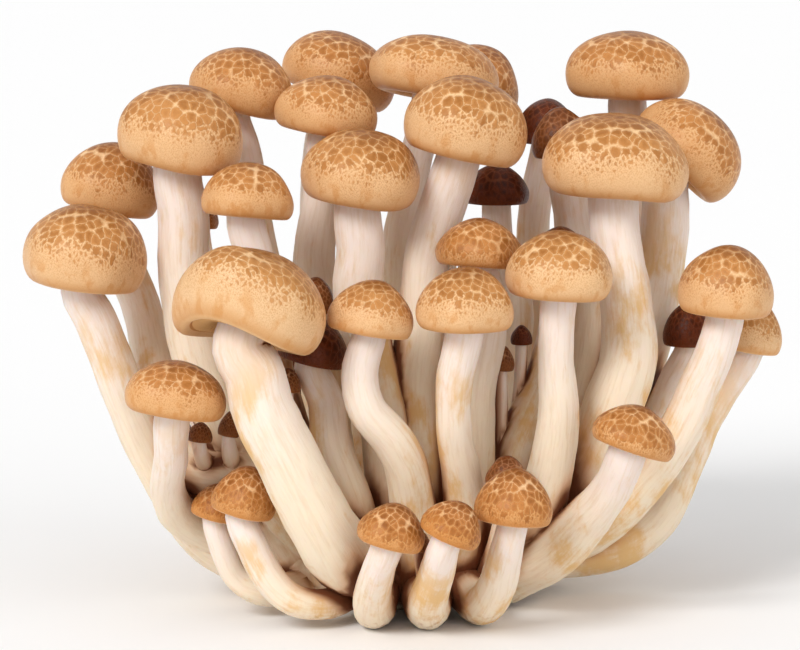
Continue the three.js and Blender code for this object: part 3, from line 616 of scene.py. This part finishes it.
def gill_tree(gill):
    """Hangs the gills under a cap: long ones and, between them, short ones. Then it arches the cap's rim,
    lets one side of it droop, leans the cap and sets it on its stem."""
    sizes = [
        "Inner radius", "Outer radius", "Inner edge", "Outer edge", "Inner flesh", "Outer flesh", "Sag",
        "Thickness", "Half width", "Lift", "Lift heading", "Droop", "Droop heading",
    ]
    inputs = [("Cap", "Geometry"), ("Gills", "Int"), *((size, "Float") for size in sizes)]
    inputs += [("Lean", "Rotation"), ("Place", "Vector")]
    tree, put = new_tree("gilled cap", "GeometryNodeTree", inputs, [("Cap", "Geometry")])
    here = add(tree, "GeometryNodeInputPosition")
    x, y, z = split(here)

    def blades(first_share, turned):
        """Thin blades, each as deep as the flesh over it, and thicker at the root than at the edge."""
        cube = {"Size": (1, 1, 1), "Vertices X": GILL_SEGMENTS + 1, "Vertices Y": 2, "Vertices Z": 2}
        blade = add(tree, "GeometryNodeMeshCube", cube)
        share = (x + 0.5) * (1 - first_share) + first_share
        root = z + 0.5
        reach = put["Inner radius"] + (put["Outer radius"] - put["Inner radius"]) * share
        sag = put["Sag"] * share * (1.0 - share) * 4.0
        edge = put["Inner edge"] + (put["Outer edge"] - put["Inner edge"]) * share - sag
        flesh = put["Inner flesh"] + (put["Outer flesh"] - put["Inner flesh"]) * share
        start = (x + 0.5).ramp(0.0, 0.35, first_share > 0, 0.0)
        edge = edge + (flesh - edge) * start
        width = y * put["Thickness"] * (root * 0.6 + 0.4)
        form = vector(tree, reach, width, edge + (flesh - edge) * root)
        blade = add(tree, "GeometryNodeSetPosition", {"Geometry": blade, "Position": form})
        # Share from the blade's edge to its root, by which the gill material paints shade
        deep = {"Geometry": blade, "Name": "depth", "Value": root}
        blade = add(tree, "GeometryNodeStoreNamedAttribute", deep, data_type="FLOAT", domain="POINT")
        turn = (add(tree, "GeometryNodeInputIndex") + turned) * (2 * math.pi) / put["Gills"]
        spots = add(tree, "GeometryNodePoints", {"Count": put["Gills"]})
        ring = {"Points": spots, "Instance": blade, "Rotation": vector(tree, 0.0, 0.0, turn)}
        return add(tree, "GeometryNodeInstanceOnPoints", ring)

    both = tree.nodes.new("GeometryNodeJoinGeometry")
    for ring in (blades(0.0, 0.0), blades(SHORT_GILL, 0.5)):
        tree.links.new(ring.socket, both.inputs[0])
    gills = add(tree, "GeometryNodeRealizeInstances", {0: Field(tree, both.outputs[0])})
    mark = {"Geometry": gills, "Name": "gill", "Value": 1.0}
    gills = add(tree, "GeometryNodeStoreNamedAttribute", mark, data_type="FLOAT", domain="FACE")
    whole = tree.nodes.new("GeometryNodeJoinGeometry")
    for part in (gills, put["Cap"]):
        tree.links.new(part.socket, whole.inputs[0])

    heading = y.math("ARCTAN2", x)
    radius = (x * x + y * y).math("SQRT") / put["Half width"]
    beyond = (radius - ARCH_START).math("MAXIMUM", 0.0)
    lifted = (heading - put["Lift heading"]).math("COSINE").math("MAXIMUM", 0.0)
    drooped = (heading - put["Droop heading"]).math("COSINE").math("MAXIMUM", 0.0)
    rise = put["Lift"] * lifted * lifted - put["Droop"] * drooped.math("POWER", 5.0)
    offset = vector(tree, 0.0, 0.0, rise * beyond)
    bent = {"Geometry": Field(tree, whole.outputs[0]), "Offset": offset}
    bent = add(tree, "GeometryNodeSetPosition", bent)
    leant = {"Geometry": bent, "Translation": put["Place"], "Rotation": put["Lean"]}
    leant = add(tree, "GeometryNodeTransform", leant)
    real = add(tree, "GeometryNodeRealizeInstances", {0: leant})
    chosen = add(tree, "GeometryNodeInputNamedAttribute", {"Name": "gill"}, data_type="FLOAT")
    dressed = {"Geometry": real, "Selection": chosen.math("GREATER_THAN", 0.5), "Material": gill}
    close_tree(tree, {"Cap": add(tree, "GeometryNodeSetMaterial", dressed)})
    return tree


def grown_to(cap, pair):
    """The value between a young cap's and a grown one's that suits this cap's width."""
    return float(np.interp(cap["across"], GROWTH_WIDTHS, pair))


def cap_outline(cap):
    """Half the section of a cap, from the crown over the rim to the stem: shares of radius and of height."""
    dome = [math.radians(90 - 90 * (step + 1) / DOME_STEPS) for step in range(DOME_STEPS)]
    rim = [math.radians(90 * (step + 1) / RIM_STEPS) for step in range(RIM_STEPS)]
    widest = grown_to(cap, WIDEST_LEVELS)
    inner = grown_to(cap, ROLLED_RADII)
    pointed = grown_to(cap, POINTEDNESS)
    points = [(0.0, 1.0)]
    for arc in dome:
        radius = math.cos(arc)
        height = (1 - pointed) * math.sin(arc) + pointed * (1 - radius**CONE_POWER)
        points.append((radius, widest + (1 - widest) * height))
    points += [(inner + (1 - inner) * math.cos(arc), widest * (1 - math.sin(arc))) for arc in rim]
    turned = len(points)
    socket = 2 * (cap["girth"][0] - SOCKET_MARGIN) / cap["across"]
    start = inner - GILL_INSET
    points += [(inner - LIP_INSET, LIP_LEVEL), (start, GILL_LEVEL)]
    for step in range(1, FLESH_STEPS + 1):
        share = step / FLESH_STEPS
        level = FLESH_LEVELS[0] + (FLESH_LEVELS[1] - FLESH_LEVELS[0]) * share
        points.append((start + (socket - start) * share - 0.01, level))
    return np.array(points), turned


def cap_mesh(cap, skin, gill):
    """The skin and flesh of an upright cap, with the coordinates that its pattern follows."""
    outline, turned = cap_outline(cap)
    sides = CAP_SIDES["large" if cap["across"] > LARGE_CAP else "small"]
    angles = np.arange(sides) * 2 * math.pi / sides
    half = 0.5 * cap["across"] * MM
    tall = cap["tall"] * MM
    sway = 1 + BROAD_WAVE * np.sin(3 * angles + cap["phase"])
    sway = sway + FINE_WAVE * np.sin(5 * angles - 2 * cap["phase"])
    steps = np.linalg.norm(np.diff(outline * (half, tall), axis=0), axis=1)
    way = np.concatenate([[0], np.cumsum(steps)])
    down = way / way[turned - 1]

    points = [(0.0, 0.0, tall)]
    for radius, level in outline[1:]:
        ring = half * radius * sway
        points += zip(ring * np.cos(angles), ring * np.sin(angles), np.full(sides, tall * level))
    points.append((0.0, 0.0, tall * FLESH_LEVELS[1]))
    points = np.array(points)
    seed = Vector((cap["phase"], -cap["phase"], 0))
    for number, point in enumerate(points):
        spot = Vector(point) / (2 * half) * SWELLS + seed
        points[number] += 2 * point * SWELL * noise.noise(spot)

    def corner(level, side):
        return 0 if level == 0 else 1 + (level - 1) * sides + side % sides

    last = len(points) - 1
    faces = []
    for level in range(len(outline) - 1):
        for side in range(sides):
            left = [corner(level, side), corner(level + 1, side)]
            right = [corner(level + 1, side + 1), corner(level, side + 1)]
            faces.append([*left, right[0]] if level == 0 else [*left, *right])
    inmost = len(outline) - 1
    faces += [(corner(inmost, side), last, corner(inmost, side + 1)) for side in range(sides)]

    mesh = bpy.data.meshes.new(cap["name"])
    mesh.from_pydata([tuple(point) for point in points], [], faces)
    mesh.materials.append(skin)
    mesh.materials.append(gill)
    levels = np.concatenate([[0], np.repeat(np.arange(1, len(outline)), sides), [len(outline) - 1]])
    around = np.concatenate([[0], np.tile(angles, len(outline) - 1), [0]])
    under = [max(levels[corner] for corner in face) > turned + 1 for face in faces]
    mesh.polygons.foreach_set("material_index", np.array(under, dtype=np.int32))
    mesh.polygons.foreach_set("use_smooth", [True] * len(faces))
    distance = way[levels] / (2 * half)
    spots = np.stack([distance * np.cos(around), distance * np.sin(around)], axis=1)
    spots += [cap["order"] * step for step in PATTERN_STEP]
    corners = np.zeros(len(mesh.loops), dtype=np.int32)
    mesh.loops.foreach_get("vertex_index", corners)
    mesh.uv_layers.new(name="skin").data.foreach_set("uv", spots[corners].ravel())
    marks = {
        "down": np.minimum(down[levels], 1.0),
        "reach": cap["reach"] - down[levels],
        "across": np.full(len(points), cap["across"]),
        "tone": np.full(len(points), cap["depth"]),
        # The flesh between the gills takes the painted shade of their roots in full
        "depth": np.full(len(points), 1.0),
    }
    for label, values in marks.items():
        mesh.attributes.new(label, "FLOAT", "POINT").data.foreach_set("value", values.astype(np.float32))
    return mesh


def gill_sizes(cap):
    """What the gill tree asks for, in metres, from a cap's millimetres."""
    half = 0.5 * cap["across"] * MM
    tall = cap["tall"] * MM
    start = grown_to(cap, ROLLED_RADII) - GILL_INSET
    lift, heading = cap["arch"]
    droop, side = DROOPS.get(cap["name"], (0.0, 0.0))
    return {
        "Gills": max(FEWEST_GILLS, round(math.pi * cap["across"] * start / GILL_PITCH)),
        "Inner radius": (cap["girth"][0] - SOCKET_MARGIN) * MM,
        "Outer radius": half * start * GILL_REACH,
        "Inner edge": tall * SOCKET_LEVEL,
        "Outer edge": tall * GILL_LEVEL,
        "Inner flesh": tall * (FLESH_LEVELS[1] + GILL_ROOT),
        "Outer flesh": tall * (FLESH_LEVELS[0] + GILL_ROOT),
        "Sag": GILL_SAG * tall,
        "Thickness": GILL_THICKNESS * MM,
        "Half width": half,
        "Lift": lift * MM,
        "Lift heading": math.radians(heading),
        "Droop": droop * MM,
        "Droop heading": math.radians(side),
        "Lean": cap["turn"].to_euler(),
        "Place": cap["centre"] * MM,
    }


def stem_tree(flesh):
    """Draws a stem along its path: a tube whose radius swells and tapers, with shallow flutes and dents."""
    sizes = ["Top radius", "Middle radius", "Foot radius", "Phase", "Buried"]
    inputs = [("Path", "Geometry"), ("Rings", "Int"), ("Sides", "Int"), *((size, "Float") for size in sizes)]
    tree, put = new_tree("stem along a path", "GeometryNodeTree", inputs, [("Stem", "Geometry")])
    path = add(tree, "GeometryNodeResampleCurve", {"Curve": put["Path"], "Count": put["Rings"]})
    factor = add(tree, "GeometryNodeSplineParameter")
    share = ((factor - put["Buried"]) / (1.0 - put["Buried"])).math("MAXIMUM", 0.0)
    rest = 1.0 - share
    ends = put["Top radius"] * rest * (1.0 - share * 2.0) + put["Foot radius"] * share * (share * 2.0 - 1.0)
    taper = ends + put["Middle radius"] * share * rest * 4.0
    radius = taper * ((share * STEM_WAVES + put["Phase"]).math("SINE") * STEM_WAVE + 1.0)
    kept = tree.nodes.new("GeometryNodeCaptureAttribute")
    tree.links.new(path.socket, kept.inputs["Geometry"])
    for label, field in {"Radius": radius, "Length": factor.beside("Length"), "Share": share}.items():
        kept.capture_items.new("FLOAT", label)
        tree.links.new(field.socket, kept.inputs[label])
    girth = {"Resolution": put["Sides"], "Radius": 1.0}
    circle = add(tree, "GeometryNodeCurvePrimitiveCircle", girth)
    shaped = tree.nodes.new("GeometryNodeCaptureAttribute")
    tree.links.new(circle.socket, shaped.inputs["Geometry"])
    shaped.capture_items.new("VECTOR", "Around")
    tree.links.new(add(tree, "GeometryNodeInputPosition").socket, shaped.inputs["Around"])
    radius = Field(tree, kept.outputs["Radius"])
    tube = {
        "Curve": Field(tree, kept.outputs["Geometry"]),
        "Profile Curve": Field(tree, shaped.outputs["Geometry"]),
        "Scale": radius,
        "Fill Caps": True,
    }
    tube = add(tree, "GeometryNodeCurveToMesh", tube)
    x, y, _ = split(Field(tree, shaped.outputs["Around"]))
    length = Field(tree, kept.outputs["Length"])
    grain = vector(tree, x * radius / MM, y * radius / MM, length / MM)
    apart = vector(tree, x * 2.6, y * 2.6, length / MM * 0.035 + put["Phase"])
    dents = vector(tree, x * radius / MM, y * radius / MM, length / MM + put["Phase"] * 9.0)
    flutes = noise_of(tree, apart, 1.6, detail=3.0, roughness=0.55)
    swells = noise_of(tree, dents, 0.16, detail=2.0)
    relief = (flutes - 0.5) * (FLUTE_DEPTH * NOISE_STRETCH) + (swells - 0.5) * (STEM_SWELL * NOISE_STRETCH)
    relief = radius * relief
    out = add(tree, "GeometryNodeInputNormal")
    offset = add(tree, "ShaderNodeVectorMath", {0: out, "Scale": relief}, operation="SCALE")
    stem = add(tree, "GeometryNodeSetPosition", {"Geometry": tube, "Offset": offset})
    store = {"Geometry": stem, "Name": "grain", "Value": grain}
    stem = add(tree, "GeometryNodeStoreNamedAttribute", store, data_type="FLOAT_VECTOR", domain="CORNER")
    store = {"Geometry": stem, "Name": "share", "Value": Field(tree, kept.outputs["Share"])}
    stem = add(tree, "GeometryNodeStoreNamedAttribute", store, data_type="FLOAT", domain="CORNER")
    real = add(tree, "GeometryNodeRealizeInstances", {0: stem})
    close_tree(tree, {"Stem": add(tree, "GeometryNodeSetMaterial", {"Geometry": real, "Material": flesh})})
    return tree


def smooth_path(points, count):
    """Points along the curve that passes through all of these, by the centripetal rule of Catmull and Rom."""
    points = [np.array(point, dtype=float) for point in points]
    points = [2 * points[0] - points[1], *points, 2 * points[-1] - points[-2]]
    way = []
    spans = len(points) - 3
    per_span = max(4, count // spans)
    for span in range(spans):
        p0, p1, p2, p3 = points[span:span + 4]
        t1 = math.sqrt(np.linalg.norm(p1 - p0))
        t2 = t1 + math.sqrt(np.linalg.norm(p2 - p1))
        t3 = t2 + math.sqrt(np.linalg.norm(p3 - p2))
        for step in range(per_span):
            t = t1 + (t2 - t1) * step / per_span
            a1 = (t1 - t) / t1 * p0 + t / t1 * p1
            a2 = (t2 - t) / (t2 - t1) * p1 + (t - t1) / (t2 - t1) * p2
            a3 = (t3 - t) / (t3 - t2) * p2 + (t - t2) / (t3 - t2) * p3
            b1 = (t2 - t) / t2 * a1 + t / t2 * a2
            b2 = (t3 - t) / (t3 - t1) * a2 + (t - t1) / (t3 - t1) * a3
            way.append((t2 - t) / (t2 - t1) * b1 + (t - t1) / (t2 - t1) * b2)
    return np.array([*way, points[-2]])


def stem_piece(cap, tree):
    """One stem, from inside its cap down into the base."""
    end = cap["centre"] + cap["axis"] * (cap["tall"] * SOCKET_LEVEL - CAP_GAP)
    neck = cap["centre"] - cap["axis"] * (NECK_LENGTH * cap["across"])
    buried = cap["centre"] + cap["axis"] * (cap["tall"] * BURIED_LEVEL)
    way = smooth_path([end, neck, *cap["path"]], PATH_POINTS)
    way = np.array([buried, *way]) * MM
    steps = np.linalg.norm(np.diff(way, axis=0), axis=1)
    curve = bpy.data.curves.new(cap["name"].replace("cap", "stem"), "CURVE")
    curve.dimensions = "3D"
    spline = curve.splines.new("POLY")
    spline.points.add(len(way) - 1)
    spline.points.foreach_set("co", np.column_stack([way, np.ones(len(way))]).ravel())
    top, middle, foot = cap["girth"]
    sizes = {
        "Rings": max(FEWEST_RINGS, round(steps.sum() / (STEM_PITCH * MM))),
        "Sides": max(FEWEST_SIDES, round(STEM_SIDES * min(1.0, THINNEST_SHARE + middle / FULL_GIRTH))),
        "Top radius": top * MM,
        "Middle radius": middle * MM,
        "Foot radius": foot * MM,
        "Phase": cap["phase"] % (2 * math.pi),
        "Buried": steps[0] / steps.sum(),
    }
    return shaped_by(tree, placed(curve.name, curve), sizes)


def base_piece(flesh):
    """The mound that the stems grow from, uneven and faintly ribbed."""
    def placed_on_base(unit):
        return [(middle + half * part) * MM for middle, half, part in zip(BASE_CENTRE, BASE_HALF, unit)]

    points = []
    for ring in range(1, BASE_RINGS):
        arc = math.radians(90 - 180 * ring / BASE_RINGS)
        for side in range(BASE_SIDES):
            angle = 2 * math.pi * side / BASE_SIDES
            sway = 1 + BASE_WAVES[0] * math.sin(3 * angle + 1) + BASE_WAVES[1] * math.sin(7 * angle)
            reach = sway * math.cos(arc)
            unit = Vector((reach * math.cos(angle), reach * math.sin(angle), math.sin(arc)))
            unit *= 1 + BASE_SWELL * noise.noise(unit * BASE_SWELLS)
            points.append(placed_on_base(unit))
    for side in (1, -1):
        points.append(placed_on_base((0, 0, side)))
    faces = []
    for ring in range(BASE_RINGS - 2):
        for side in range(BASE_SIDES):
            after = (side + 1) % BASE_SIDES
            start, under = ring * BASE_SIDES, (ring + 1) * BASE_SIDES
            faces.append((start + side, under + side, under + after, start + after))
    top, bottom = len(points) - 2, len(points) - 1
    lowest = (BASE_RINGS - 2) * BASE_SIDES
    for side in range(BASE_SIDES):
        after = (side + 1) % BASE_SIDES
        faces.append((top, side, after))
        faces.append((bottom, lowest + after, lowest + side))
    mesh = bpy.data.meshes.new("base")
    mesh.from_pydata(points, [], faces)
    mesh.materials.append(flesh)
    corners = np.zeros(len(mesh.loops), dtype=np.int32)
    mesh.loops.foreach_get("vertex_index", corners)
    grain = np.array(points)[corners] / MM
    mesh.attributes.new("grain", "FLOAT_VECTOR", "CORNER").data.foreach_set("vector", grain.ravel())
    mesh.attributes.new("share", "FLOAT", "CORNER").data.foreach_set("value", np.ones(len(corners)))
    return placed("base", mesh)


def joined(base, stems):
    """The stems and the base as one closed body, cut flat underneath."""
    others = bpy.data.collections.new("stems")
    for stem in stems:
        others.objects.link(stem)
    block = bpy.data.meshes.new("block")
    x, y, z = CUT_BLOCK
    corners = [(x * a, y * b, -z * c) for a in (-0.5, 0.5) for b in (-0.5, 0.5) for c in (0, 1)]
    sides = [(0, 4, 6, 2), (1, 3, 7, 5), (0, 1, 5, 4), (2, 6, 7, 3), (0, 2, 3, 1), (4, 5, 7, 6)]
    block.from_pydata(corners, [], sides)
    knife = placed("knife", block)
    union = base.modifiers.new("union", "BOOLEAN")
    union.operation = "UNION"
    union.solver = "MANIFOLD"
    union.operand_type = "COLLECTION"
    union.collection = others
    cut = base.modifiers.new("cut", "BOOLEAN")
    cut.operation = "DIFFERENCE"
    cut.solver = "MANIFOLD"
    cut.object = knife
    whole = frozen(base)
    for scrap in (knife, *stems):
        bpy.data.objects.remove(scrap)
    bpy.data.collections.remove(others)
    return whole


def mark_crevices(piece):
    """Stores how shut in each spot is by the stems round it, from 0 in the open to 1. The stem material
    paints shade by it.
    """
    mesh = piece.data
    tree = BVHTree.FromPolygons([v.co for v in mesh.vertices], [p.vertices for p in mesh.polygons])
    golden = math.pi * (3 - math.sqrt(5))
    rays = []
    for number in range(CREVICE_RAYS):
        rise = RAY_LOWEST + (1 - RAY_LOWEST) * (number + 0.5) / CREVICE_RAYS
        reach = math.sqrt(1 - rise * rise)
        rays.append(Vector((reach * math.cos(golden * number), reach * math.sin(golden * number), rise)))
    shut = []
    for vertex in mesh.vertices:
        turn = vertex.normal.to_track_quat("Z", "Y")
        start = vertex.co + vertex.normal * RAY_START
        met = 0.0
        for ray in rays:
            _, _, _, far = tree.ray_cast(start, turn @ ray, CREVICE_DEPTH)
            met += 0.0 if far is None else 1 - far / CREVICE_DEPTH
        shut.append(met / CREVICE_RAYS)
    mesh.attributes.new("crevice", "FLOAT", "POINT").data.foreach_set("value", shut)


def backdrop():
    mesh = bpy.data.meshes.new("floor")
    far = FLOOR_HALF
    mesh.from_pydata([(-far, -far, 0), (far, -far, 0), (far, far, 0), (-far, far, 0)], [], [(0, 1, 2, 3)])
    floor = placed("floor", mesh)
    material, _, _ = new_material("plain floor", 0.9, Base_Color=BACKDROP)
    mesh.materials.append(material)
    floor.location.z = -FLOOR_DROP * MM


def studio():
    """Soft light from all round, with a broad lamp at the upper left in front and a weak one at the right."""
    world = bpy.data.worlds.new("studio")
    world.use_nodes = True
    light = world.node_tree.nodes["Background"]
    light.inputs["Color"].default_value = (1.0, 1.0, 1.0, 1.0)
    light.inputs["Strength"].default_value = LIGHT_ALL_ROUND
    bpy.context.scene.world = world
    for name, (down, side, strength, soft) in LAMPS.items():
        lamp = bpy.data.lights.new(name, "SUN")
        lamp.energy = strength
        lamp.angle = math.radians(soft)
        sun = placed(name, lamp)
        sun.rotation_euler = (math.radians(down), 0, math.radians(side))


def camera():
    lens = bpy.data.cameras.new("camera")
    lens.sensor_width = SENSOR_WIDTH
    lens.lens = SENSOR_WIDTH * CAMERA_DISTANCE / FIELD_WIDTH
    lens.clip_start, lens.clip_end = CLIP_RANGE
    viewer = placed("camera", lens)
    tilt = math.radians(CAMERA_ELEVATION)
    back = Vector((0, -math.cos(tilt), math.sin(tilt))) * CAMERA_DISTANCE
    viewer.location = (Vector(CAMERA_TARGET) + back) * MM
    viewer.rotation_euler = (math.radians(90) - tilt, 0, 0)
    bpy.context.scene.camera = viewer


def mushroom(order, row):
    name, middle, across, tall, (right, back), arch, tone, girth, path = row
    turn = Matrix.Rotation(-math.radians(back), 3, "X") @ Matrix.Rotation(math.radians(right), 3, "Y")
    dark = tone > DARK_TONE
    kind = "dark" if dark else "young" if across < YOUNG_WIDTH and tone > YOUNG_TONE else "grown"
    return {
        "name": name, "order": order, "centre": Vector(middle), "across": across, "tall": tall, "turn": turn,
        "axis": turn @ Vector((0, 0, 1)), "arch": arch, "girth": girth, "path": path, "dark": dark,
        "depth": (tone - DARK_TONE) / (1 - DARK_TONE) if dark else min(1.0, tone / BROWNEST_TONE),
        "phase": order * math.radians(PHASE_STEP), "reach": REACH[kind],
    }


camera()
studio()
backdrop()

fibres = fibre_group()
marbled = marbling_group()
gill = gill_material(fibres)
flesh = stem_material(fibres)
skins = {
    False: ("cap_tan", skin_material("tan marbled skin", marbled, "pale", "brown")),
    # The dark skin is partly the deeper brown of young caps and partly painted shade for caps deep in the
    # clump
    True: ("cap_dark", skin_material("dark marbled skin with painted shade", marbled, "brown", "dark")),
}

gilled = gill_tree(gill)
grown = stem_tree(flesh)
stems = []
for order, row in enumerate(MUSHROOMS):
    cap = mushroom(order, row)
    slot, skin = skins[cap["dark"]]
    node = cap["name"]
    piece = placed("skin_" + node, cap_mesh(cap, skin, gill))
    piece = shaped_by(gilled, piece, gill_sizes(cap))
    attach(piece, "root")
    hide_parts(node)
    stems.append(stem_piece(cap, grown))

body = joined(base_piece(flesh), stems)
body.name = "flesh_stems"
body.data.polygons.foreach_set("use_smooth", [True] * len(body.data.polygons))
body.data.set_sharp_from_angle(angle=math.radians(FOLD_ANGLE))
mark_crevices(body)
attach(body, "root")
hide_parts("stems")

view = bpy.context.scene.view_settings
view.view_transform = "Standard"
view.look = "None"
